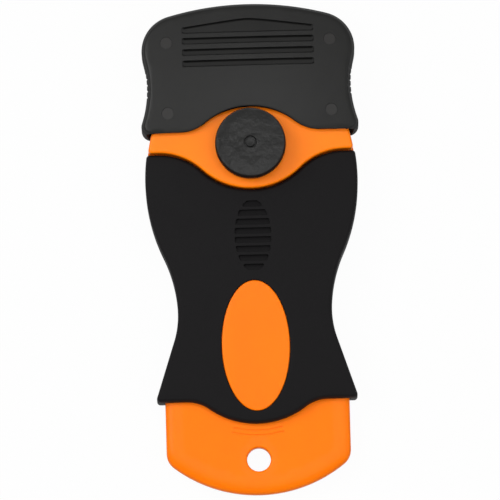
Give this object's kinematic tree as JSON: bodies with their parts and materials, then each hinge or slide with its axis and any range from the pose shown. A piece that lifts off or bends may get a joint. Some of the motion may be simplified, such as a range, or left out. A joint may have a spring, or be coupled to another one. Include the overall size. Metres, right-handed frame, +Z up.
{
  "type": "razor blade scraper",
  "caption": "Wide flat blade scraper: push-on blade guard, screw-down clamp cover with a knurled knob, soft-grip handle with spare-blade storage and a hanging tail.",
  "frame": {"origin": "centre of the footprint, on the plane that the scraper lies on", "axes": "+X across the blade, +Y along the handle towards the blade, +Z up out of the side with the knob"},
  "size_m": [0.0706, 0.16, 0.0236],
  "materials": {
    "black_plastic": "satin moulded black plastic",
    "orange_plastic": "semi-gloss moulded orange plastic",
    "black_rubber": "smooth soft-touch overmould",
    "blade_steel": "ground carbon steel",
    "plated_steel": "zinc plated",
    "spring_steel": "drawn wire",
    "brass": "turned"
  },
  "bodies": {
    "handle": {"bottom_shell": "orange_plastic", "top_shell": "orange_plastic", "grip_top": "black_rubber", "grip_bottom": "black_rubber", "case_screws": "plated_steel", "threaded_insert": "brass", "razor_blade": "blade_steel", "lift_spring": "spring_steel", "spare_blade_1": "blade_steel", "spare_blade_2": "blade_steel", "spare_blade_3": "blade_steel", "spare_blade_4": "blade_steel", "spare_blade_5": "blade_steel"},
    "cover": {"clamp_cover": "orange_plastic", "thrust_washer": "plated_steel"},
    "knob": {"clamp_knob": "black_plastic", "knob_screw": "plated_steel", "stop_ring": "plated_steel"},
    "guard": {"blade_guard": "black_plastic"},
    "door": {"storage_door": "black_plastic"}
  },
  "joints": [
    {"name": "guard_slide", "type": "slide", "parent": "handle", "child": "guard", "axis": [0, 1, 0], "range_m": [0, 0.04]},
    {"name": "cover_lift", "type": "slide", "parent": "handle", "child": "cover", "axis": [0, 0, 1], "range_m": [0, 0.0008], "deforming": ["lift_spring"]},
    {"name": "knob_turn", "type": "hinge", "parent": "cover", "child": "knob", "pos_m": [0, 0.03355, 0.02], "axis": [0, 0, 1], "range_deg": [0, 360]},
    {"name": "door_slide", "type": "slide", "parent": "handle", "child": "door", "axis": [0, -1, 0], "range_m": [0, 0.062]}
  ],
  "couplings": [
    {"joint": "cover_lift", "follows": "knob_turn", "m_per_rad": 0.00012732}
  ]
}
